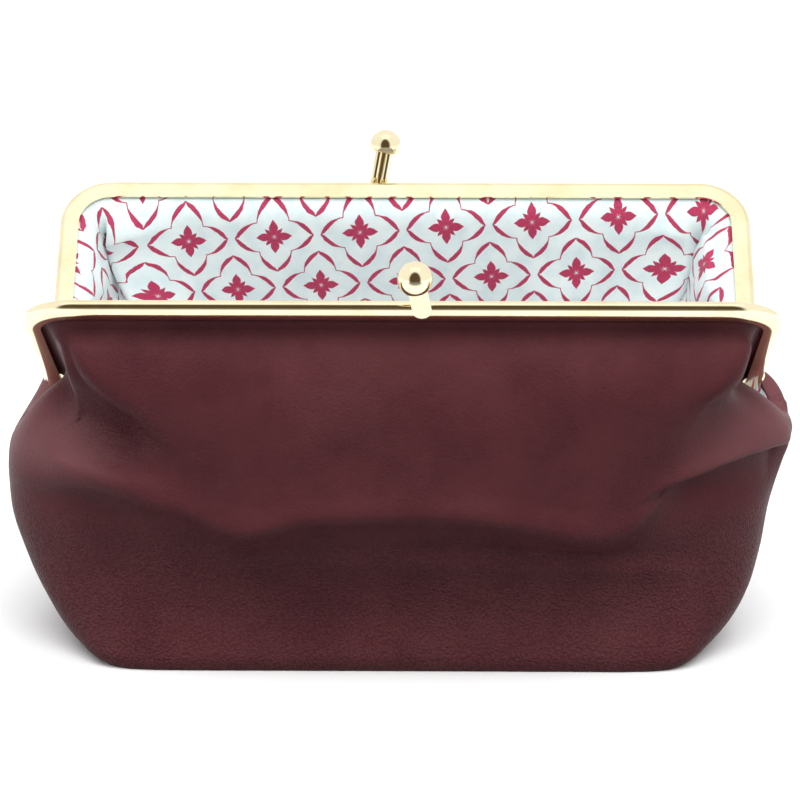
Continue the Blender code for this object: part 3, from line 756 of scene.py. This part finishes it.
def rimPlaces(hand):
    # Rim points (x, up), inward ways and how far round each lies: 0 hinge, 1 corner, 2 along the bar
    half, corner, reach = metal["halfWidth"], metal["corner"], metal["reach"]
    top = reach - corner
    leg, share, bar = (np.linspace(0, 1, columnSteps[part] + 1) for part in ("leg", "corner", "bar"))
    angle = np.radians(180 - 90 * share[1:])
    x, z = np.cos(angle), np.sin(angle)
    parts = [(-half, mix(body["slotStart"], top, leg), 1.0, 0.0, leg),
             (corner - half + x * corner, top + z * corner, -x, -z, 1 + share[1:]),
             ((corner - half) * (1 - bar[1:]), reach, 0.0, -1.0, 2.0)]
    places = np.concatenate([np.stack(np.broadcast_arrays(*part), 1) for part in parts])
    places *= (-hand, 1, -hand, 1, 1)
    return places[:, :2], places[:, 2:4], places[:, 4]


def topRows(side, hand, cloth):
    # Slot edge, mouth, two places on the roll out of the channel, and the shoulder
    rim, way, around = rimPlaces(hand)
    bar = np.clip(around - 1, 0, 1)
    barInset, barDepth, barRoll = barLine[cloth][side]
    inset, depth = (
        lineAt(list(zip(body["shoulderAt"], values)), around, body["blur"])
        for values in ((*body["insets"], barInset), (*body["depths"], barDepth)))
    away = farWall - body["gap"]
    width, out, drop = metal["channelWidth"], body["rollOut"], body["rollDrop"]
    steps = [(width - body["insert"], away), (metal["outerWidth"] + body["gap"], away)]
    roll = width + out * mix(body["legRoll"], barRoll, bar)
    startOut, startDrop = (mix(a, b, bar) for a, b in zip(body["legStart"], body["barStart"][side]))
    steps += [(width + out * startOut, away + drop * startDrop), (roll, away + drop), (inset, depth)]
    rows = []
    for far, lift in steps:
        spot = rim + way * np.reshape(np.broadcast_to(far, around.shape), (-1, 1))
        rows.append(fromHalf(spot[:, 0], lift, spot[:, 1], side))
    return rows


def openingRows(side, hand, rows):
    # The free edge of the side opening, from the seam's top to the slot beside the hinge
    width, out, drop = metal["channelWidth"], body["rollOut"], body["rollDrop"]
    up = body["slotStart"] - width * body["leavingShare"]
    away = farWall - body["gap"]
    leaving = []
    for outShare, dropShare in body["leavingShares"]:
        x = hand * (metal["halfWidth"] - width - out * outShare)
        leaving.append(fromHalf(x, away + drop * dropShare, up, side))
    leaving.append(fromHalf(hand * (metal["halfWidth"] - body["insets"][0]), body["depths"][0], up, side))
    inner = metal["halfWidth"] - body["seamInset"][hand]
    top = hinge[2] - body["seamDrop"][hand]
    y = hinge[1] + side * body["seamGap"] / 2
    seam = []
    for outShare, downShare in body["seamShares"]:
        x = mix(inner, body["sideShoulder"][hand], outShare)
        seam.append(np.array([hand * x, y, mix(top, body["sideShoulderHeight"][hand], downShare)]))
    share = np.linspace(0, 1, columnSteps["edge"] + 1)[:-1].reshape(-1, 1)
    sag = np.array([0, 0, 1]) * -4 * body["edgeSag"][side, hand] * share * (1 - share)
    return [np.concatenate([mix(a, b, share) + sag, row]) for a, b, row in zip(seam, leaving, rows)]


def ringRow(shares, half, depth, square, pinch, side, hand):
    # Places of a quarter ring at shares of its length, from the side seam to the middle
    angle = np.linspace(0, math.pi / 2, 400)
    y = depth * np.sin(angle) ** (2 / square)
    x = half * np.cos(angle) ** (2 / square) * (1 - pinch * y / depth)
    walked = walkedTo(np.hypot(np.diff(x), np.diff(y)))
    at = shares * walked[-1]
    far = np.maximum(np.interp(at, walked, y), body["seamGap"] / 2)
    return hand * np.interp(at, walked, x), hinge[1] + side * far


def controlRows(side, hand, cloth):
    # Places from the slot edge to the base seam, for one hand of a panel
    rows = openingRows(side, hand, topRows(side, hand, cloth))
    walked = walkedTo(stepLengths(rows[1]))
    shares = walked / walked[-1]
    line = ridgeLine if side < 0 else rearRidgeLine
    ridgeSeam = rings[side]["ridge"][0]
    seamRise = lineAt(line, hand * line[-1][0]) - ridgeSeam
    for seam, depth, square, pinch, follow in rings[side].values():
        half = lineAt(sideLine[hand], seam + follow * seamRise)
        x, y = ringRow(shares, half, depth, square, pinch, side, hand)
        z = seam + follow * (lineAt(line, x, body["ridgeBlur"]) - ridgeSeam)
        rows.append(np.stack([x, y, z], 1))
    # The base's edge follows its last ring, a little inside it
    half = lineAt(sideLine[hand], 0) - body["footInset"]
    x, y = ringRow(shares, half, depth - body["footInset"], square, pinch, side, hand)
    rows.append(np.stack([x, y, np.zeros(len(x))], 1))
    seam = hand * (half - body["baseSeamInset"]) * (1 - shares)
    y = np.full(len(x), hinge[1] + side * body["seamGap"] / 2)
    rows.append(np.stack([seam, y, np.zeros(len(x))], 1))
    return np.stack(rows)


def smoothRows(control, steps):
    # A curve down each column through its places, straight at both ends and under the base
    chords = np.linalg.norm(np.diff(control, axis=0), axis=2, keepdims=True)
    ways = np.diff(control, axis=0) / chords
    slopes = (ways[1:] * chords[:-1] + ways[:-1] * chords[1:]) / (chords[:-1] + chords[1:])
    slopes = np.concatenate([ways[:1], slopes, ways[-1:]])
    slopes[-2] = ways[-1]
    found = [control[0]]
    for k, count in enumerate(steps):
        for t in np.linspace(0, 1, count + 1)[1:]:
            start = control[k] * (2 * t**3 - 3 * t**2 + 1)
            end = control[k + 1] * (3 * t**2 - 2 * t**3)
            rise = slopes[k] * chords[k] * (t**3 - 2 * t**2 + t)
            fall = slopes[k + 1] * chords[k] * (t**3 - t**2)
            found.append(start + end + rise + fall)
    return np.stack(found)


def gridNormals(grid, side):
    across = np.gradient(grid, axis=1)
    down = np.gradient(grid, axis=0)
    normal = np.cross(down, across) * -side
    normal[:, 0, 1] = 0
    normal[:, -1, 1] = 0
    normal[-1] = (0, 0, -1)
    return unit(normal)


# Rows from the slot, height above the base and columns from a seam over which the folds come in,
# and the share of a line just before its end
foldStart = {"rows": (6, 15), "base": (0.004, 0.02), "seam": (2, 18), "end": -0.001}


def strokeField(grid, stroke):
    # How far a fold moves each place. Its line crosses the panel, in (x, z), and it lifts what is
    # within its reach above and below. A step (sink, width) sinks what is below instead.
    points = np.array(stroke["line"])
    x, z = grid[..., 0], grid[..., 2]
    best = np.full(x.shape, np.inf)
    signed = np.zeros(x.shape)
    share = np.zeros(x.shape)
    lengths = stepLengths(points)
    walked = 0
    for (ax, az), (bx, bz), length in zip(points, points[1:], lengths):
        ux, uz = (bx - ax) / length, (bz - az) / length
        along = np.clip((x - ax) * ux + (z - az) * uz, 0, length)
        dx, dz = x - ax - along * ux, z - az - along * uz
        off = np.hypot(dx, dz)
        closer = off < best
        best = np.where(closer, off, best)
        signed = np.where(closer, np.where(ux * dz - uz * dx > 0, off, -off), signed)
        share = np.where(closer, (walked + along) / lengths.sum(), share)
        walked += length
    fadeIn, fadeOut = stroke["fades"]
    fade = ease(share, foldStart["end"], fadeIn) * ease(1 - share, foldStart["end"], fadeOut)
    lift = np.exp(-(signed / np.where(signed > 0, *stroke["reach"])) ** 2) * fade
    if "step" not in stroke:
        return lift * stroke["lift"]
    sink, edge = stroke["step"]
    turn = np.tanh(signed / edge)
    return lift * mix(-sink, stroke["lift"], (1 + turn) / 2)


frontFolds = [
    # The arch where the panel's edge turns back towards the left leg
    {"line": [(-0.0864, 0.101), (-0.0862, 0.0978), (-0.0856, 0.0942), (-0.084, 0.0902), (-0.0812, 0.086),
              (-0.0775, 0.0818), (-0.071, 0.0765), (-0.064, 0.0705), (-0.0595, 0.0645), (-0.057, 0.059)],
     "lift": 0.002, "step": (0.0026, 0.0017), "reach": (0.01, 0.006), "fades": (0.03, 0.45)},
    # The hollow below that arch, long at its top and short where it meets the swell
    {"line": [(-0.097, 0.0745), (-0.09, 0.0712), (-0.084, 0.0682), (-0.078, 0.0658), (-0.072, 0.0642),
              (-0.0665, 0.0625)],
     "lift": -0.0062, "reach": (0.01, 0.004), "fades": (0.2, 0.3)},
    # The swell between the hollow and the overhang, at the left
    {"line": [(-0.102, 0.064), (-0.093, 0.061), (-0.084, 0.06), (-0.074, 0.058), (-0.065, 0.0555),
              (-0.057, 0.0535)],
     "lift": 0.0022, "reach": (0.0045, 0.005), "fades": (0.3, 0.35)},
    # The arch beside the right leg
    {"line": [(0.072, 0.08), (0.0782, 0.0815), (0.0846, 0.083), (0.0892, 0.085), (0.0924, 0.0885),
              (0.0942, 0.0925), (0.0945, 0.0985)],
     "lift": 0.0016, "step": (0.0024, 0.002), "reach": (0.006, 0.007), "fades": (0.5, 0.05)},
    # The long crease at the right: a sharp lip above a hollow
    {"line": [(0.06, 0.051), (0.068, 0.0552), (0.076, 0.058), (0.085, 0.0606), (0.093, 0.0622),
              (0.101, 0.0622), (0.107, 0.0605)],
     "lift": 0.0018, "step": (0.0044, 0.0008), "reach": (0.009, 0.009), "fades": (0.4, 0.04)},
    # The fold where the undercut meets the lower panel, stronger at the right
    {"line": [(-0.05, 0.035), (0.02, 0.0345), (0.042, 0.0335), (0.062, 0.0325), (0.076, 0.0315),
              (0.09, 0.0285)],
     "lift": -0.001, "step": (-0.001, 0.0012), "reach": (0.0055, 0.006), "fades": (0.6, 0.2)},
]
rearFolds = [
    {"line": [(-0.088, 0.095), (-0.085, 0.086), (-0.078, 0.079), (-0.068, 0.074)],
     "lift": 0.0024, "reach": (0.0075, 0.005), "fades": (0.2, 0.45)},
    {"line": [(0.09, 0.094), (0.087, 0.085), (0.079, 0.08), (0.07, 0.077)],
     "lift": 0.0022, "reach": (0.007, 0.0055), "fades": (0.2, 0.45)},
]


def panelGrid(side, cloth):
    left, right = (
        smoothRows(controlRows(side, hand, cloth), rowSteps.values()) for hand in (-1, 1))
    return np.concatenate([left, right[:, ::-1][:, 1:]], axis=1)


# The lining's own pleats, which stand inwards: sharp at the left, soft at the right
pleats = {-1: [], 1: [
    {"line": [(-0.089, 0.117), (-0.0876, 0.113), (-0.0858, 0.104), (-0.0832, 0.094), (-0.08, 0.084),
              (-0.0765, 0.07), (-0.074, 0.056)],
     "lift": 0.0056, "step": (0.0, 0.0007), "reach": (0.011, 0.003), "fades": (0.1, 0.3)},
    {"line": [(0.0795, 0.117), (0.08, 0.105), (0.079, 0.092), (0.0765, 0.076)],
     "lift": 0.0026, "reach": (0.003, 0.0075), "fades": (0.2, 0.3)},
    {"line": [(0.0895, 0.113), (0.089, 0.102), (0.0875, 0.09), (0.085, 0.076)],
     "lift": 0.0022, "reach": (0.004, 0.0026), "fades": (0.2, 0.3)},
    {"line": [(0.04, 0.1024), (0.052, 0.1034), (0.064, 0.104), (0.0755, 0.1052)],
     "lift": 0.0009, "step": (0.0, 0.0006), "reach": (0.004, 0.003), "fades": (0.3, 0.3)},
    {"line": [(0.035, 0.08), (0.05, 0.088), (0.06, 0.0905)],
     "lift": 0.0018, "reach": (0.01, 0.005), "fades": (0.4, 0.4)},
]}


def beside(field):
    # The same field one cell up, down, left and right
    wide = np.pad(field, 1, mode="edge")
    return wide[:-2, 1:-1], wide[2:, 1:-1], wide[1:-1, :-2], wide[1:-1, 2:]


def blurred(field, times):
    for _ in range(times):
        field = (sum(beside(field)) + 4 * field) / 8
    return field


def grown(field, times):
    # The largest value within so many cells
    for _ in range(times):
        field = np.maximum.reduce([field, *beside(field)])
    return field


def foldedGrid(grid, side, folds):
    rows = np.arange(grid.shape[0]).reshape(-1, 1)
    columns = np.arange(grid.shape[1])
    free = ease(rows, *foldStart["rows"]) * ease(grid[..., 2], *foldStart["base"])
    free = free * ease(np.minimum(columns, columns[::-1]), *foldStart["seam"])
    lift = blurred(sum(strokeField(grid, stroke) for stroke in folds) * free, 1)
    return grid + gridNormals(grid, side) * lift[..., None], lift


def shellPiece(name, outer, inner, slot, flat=None):
    # Two layers of one grid, closed round their rim
    rows, columns = outer.shape[:2]
    points = np.concatenate([outer.reshape(-1, 3), inner.reshape(-1, 3)])
    lift = rows * columns
    r, c = np.meshgrid(np.arange(rows - 1), np.arange(columns - 1), indexing="ij")
    a = (r * columns + c).ravel()
    faces = np.stack([a, a + columns, a + columns + 1, a + 1], 1)
    back = np.stack([a, a + 1, a + columns + 1, a + columns], 1) + lift
    rim = []
    for r in (0, rows - 1):
        k = r * columns + np.arange(columns - 1)
        rim.append(np.stack([k, k + 1, k + 1 + lift, k + lift], 1))
    for c in (0, columns - 1):
        k = np.arange(rows - 1) * columns + c
        rim.append(np.stack([k, k + lift, k + columns + lift, k + columns], 1))
    faces = np.concatenate([faces, back, *rim])
    piece = addPiece(name, points, faces.tolist(), slot, 60)
    if flat is not None:
        layer = piece.data.uv_layers.new(name="cloth")
        both = np.concatenate([flat.reshape(-1, 2)] * 2)
        corner = np.zeros(len(piece.data.loops), np.int32)
        piece.data.loops.foreach_get("vertex_index", corner)
        layer.data.foreach_set("uv", both[corner].astype(np.float32).ravel())
    return piece


lining = {
    "thickness": 0.0004, "clearance": 0.0005, "clearRows": (2, 8), "dentCells": 5, "dentBlur": 8,
    "follow": 0.25, "followBlur": 6, "ownLine": (0, 0.018), "ownLineEnd": 0.09, "pleatRows": (5, 12),
    "roundFrom": (0.02, 0.07),
}


def flatSizes(grid):
    # Cloth coordinates in metres: across from the middle and round the sides, down from the bar
    base = sum(rowSteps.values()) - rowSteps["edge"]
    middle = grid[:, grid.shape[1] // 2]
    walked = walkedTo(stepLengths(middle))
    order = np.argsort(middle[:base + 1, 2])
    heights = middle[:base + 1][order]
    front = np.interp(grid[..., 2], heights[:, 2], np.abs(heights[:, 1] - hinge[1]))
    bent = np.maximum(front - np.abs(grid[..., 1] - hinge[1]), 0)
    across = grid[..., 0] + np.sign(grid[..., 0]) * bent * ease(np.abs(grid[..., 0]), *lining["roundFrom"])
    down = np.interp(grid[..., 2], heights[:, 2], walked[:base + 1][order])
    past = np.linalg.norm(np.diff(grid[base:], axis=0), axis=2)
    down[base + 1:] = down[base] + np.cumsum(past, axis=0)
    across[base + 1:] = across[base]
    return np.stack([across, down], -1)


blendWay = {"tilt": 15, "low": -0.0065, "high": {-1: 0.0095, 1: 0.011}}


def blendPoints(side):
    # Two points on a line from the hinge, tilted towards the half: one below the hinge and one above it
    tilt = math.radians(blendWay["tilt"])
    way = np.array([0, side * math.sin(tilt), math.cos(tilt)])
    return hinge + way * blendWay["low"], hinge + way * blendWay["high"][side]


def clothPanels(side, hand, folds):
    grid = panelGrid(side, "leather")
    outer, lift = foldedGrid(grid, side, folds)
    normals = gridNormals(outer, side)
    inner = outer - normals * body["leather"]
    leather = shellPiece(f"{hand}_leather", outer, inner, "leather")
    print(f"{hand} leather: {outer.shape[0]} rows, {outer.shape[1]} columns")
    # The lining lies inside every dent of the leather, and follows little of its outward folds
    dent = blurred(grown(np.maximum(-lift, 0), lining["dentCells"]), lining["dentBlur"])
    follow = blurred(np.maximum(lift, 0), lining["followBlur"]) * lining["follow"]
    # Its own line down from the bar joins the leather's towards the corners
    nearBar = ease(lining["ownLineEnd"] - np.abs(grid[..., :1]), *lining["ownLine"])
    grid = mix(grid, panelGrid(side, "lining"), nearBar)
    rows = np.arange(grid.shape[0]).reshape(-1, 1)
    clearance = lining["clearance"] * ease(rows, *lining["clearRows"])
    depth = body["leather"] + clearance + body["gap"] + dent - follow
    for stroke in pleats[side]:
        depth = depth + blurred(strokeField(grid, stroke) * ease(rows, *lining["pleatRows"]), 1)
    base = gridNormals(grid, side)
    outside = grid - base * depth[..., None]
    inside = outside - gridNormals(outside, side) * lining["thickness"]
    cotton = shellPiece(f"{hand}_lining", outside, inside, "lining", flatSizes(grid))
    start, end = blendPoints(side)
    for piece, cloth in ((leather, "leather"), (cotton, "lining")):
        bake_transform(piece)
        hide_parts(f"{cloth}_{hand}_panel")


for (side, hand), folds in zip(halves, (frontFolds, rearFolds)):
    clothPanels(side, hand, folds)
    paint(frame["nodes"][f"{hand}_channel_cord"], "paper_cord")
print("leather and lining made")


# Camera, floor and light

view = {"elevation": 15, "azimuth": 0.7, "distance": 0.797, "drop": 0.00729, "left": 0.00095,
        "focal": 2841, "pixels": 800, "sensor": 36,
        "clip": (0.05, 20)}


def addCamera():
    lens = view["focal"] / view["pixels"] * view["sensor"]
    data = bpy.data.cameras.new("camera")
    data.lens = lens
    data.sensor_width = view["sensor"]
    data.clip_start, data.clip_end = view["clip"]
    camera = addObject("camera", data)
    turn = Matrix.Rotation(math.radians(view["azimuth"]), 4, "Z")
    turn = turn @ Matrix.Rotation(math.radians(90 - view["elevation"]), 4, "X")
    middle = Vector((-view["left"], -view["drop"], view["distance"]))
    camera.matrix_world = Matrix.Translation(Vector(hinge)) @ turn @ Matrix.Translation(middle)
    scene.camera = camera


light = {
    "room": 0.33, "floorWhite": 0.93, "floorBounce": 0.22, "floorGloss": 0.92, "floorDark": 0.16,
    "patch": (0.62, -1.05, 0.9), "patchFade": (0.75, 1.0), "cardFade": (0.62, 0.98),
}
# Where each lamp shines from, its strength, and its width in degrees
lamps = {
    "key_light": ((0.15, -0.8, 1.0), 2.6, 55),
    "top_light": ((0.1, -0.15, 1.0), 1.6, 80),
    "side_light": ((-1.0, -0.25, 0.35), 0.65, 40),
}
# The boards that the metal mirrors: place, target, size, and colour in the middle and at the rim
cards = {
    "dark_front": ((-0.03, -0.95, 0.42), (-0.03, 0, 0.42), (1.7, 2.7), (0.1, 0.07, 0.04), 1.0),
    "bright_top": ((0.0, -0.3, 1.6), (0, 0.05, 0.1), (1.6, 0.8), (1.2, 1.2, 1.2), 1.2),
}


def addLamps():
    for name, (direction, strength, soft) in lamps.items():
        data = bpy.data.lights.new(name, "SUN")
        data.energy = strength
        data.angle = math.radians(soft)
        lamp = addObject(name, data)
        lamp.rotation_euler = Vector(direction).to_track_quat("Z", "Y").to_euler()
        lamp.visible_glossy = False


def whiteRoom():
    # The background is white to the eye and in the metal, and lights the object gently
    shader = Shader("world", bpy.data.worlds.new("room"))
    path = shader.node("ShaderNodeLightPath")
    seen = shader.value(path, "Is Camera Ray").math("MAXIMUM", shader.value(path, "Is Glossy Ray"))
    seen = seen.math("MAXIMUM", shader.value(path, "Is Transmission Ray"))
    strength = seen * (1 - light["room"]) + light["room"]
    background = shader.node("ShaderNodeBackground", None, {"Color": (1, 1, 1, 1), "Strength": strength})
    scene.world = shader.finish(background, "ShaderNodeOutputWorld")


def addSheet(name, size, surfaceOf):
    mesh = bpy.data.meshes.new(name)
    x, y = size[0] / 2, size[1] / 2
    mesh.from_pydata([(-x, -y, 0), (x, -y, 0), (x, y, 0), (-x, y, 0)], [], [(0, 1, 2, 3)])
    board = addObject(name, mesh)
    shader = Shader(name)
    mesh.materials.append(shader.finish(surfaceOf(shader)))
    return board


def floorSurface(shader):
    # White near and far, darker only in the light that it throws back up
    path = shader.node("ShaderNodeLightPath")
    seen = shader.value(path, "Is Camera Ray")
    white, bounce, gloss, dark = (
        (*[light[name]] * 3, 1) for name in ("floorWhite", "floorBounce", "floorGloss", "floorDark"))
    mirrored = shader.value(path, "Is Glossy Ray")
    # The metal mirrors a dark patch of floor below the front board
    halfWide, middle, halfDeep = light["patch"]
    x, y, _ = shader.split(shader.place())
    sideways, ahead = x / halfWide, (y - middle) / halfDeep
    away = (sideways * sideways + ahead * ahead) ** 0.5
    seenGloss = shader.blend(away.step(*light["patchFade"]), dark, gloss)
    level = shader.blend(mirrored, bounce, seenGloss)
    dull = shader.node("ShaderNodeBsdfDiffuse", None, {"Color": level})
    bright = shader.node("ShaderNodeBsdfDiffuse", None, {"Color": white})
    return shader.node("ShaderNodeMixShader", None, {
        0: seen, 1: shader.value(dull), 2: shader.value(bright)})


def boardSurface(size, middle, rim):
    def made(shader):
        # Even in the middle, and fading to the rim's level as an oval
        x, y, _ = shader.split(shader.place())
        x, y = x / (size[0] / 2), y / (size[1] / 2)
        far = ((x * x + y * y) ** 0.5).step(*light["cardFade"])
        level = shader.blend(far, (*middle, 1), (rim, rim, rim, 1))
        return shader.node("ShaderNodeEmission", None, {"Color": level})
    return made


def addBoards():
    for name, (place, target, size, middle, rim) in cards.items():
        board = addSheet(name, size, boardSurface(size, middle, rim))
        board.location = place
        board.rotation_euler = (Vector(target) - Vector(place)).to_track_quat("Z", "Y").to_euler()
        board.visible_camera = False
        board.visible_diffuse = False
        board.visible_shadow = False


addCamera()
whiteRoom()
addSheet("floor", (6, 6), floorSurface)
addBoards()
addLamps()
scene.view_settings.view_transform = "Standard"
print("camera, floor and lights made")
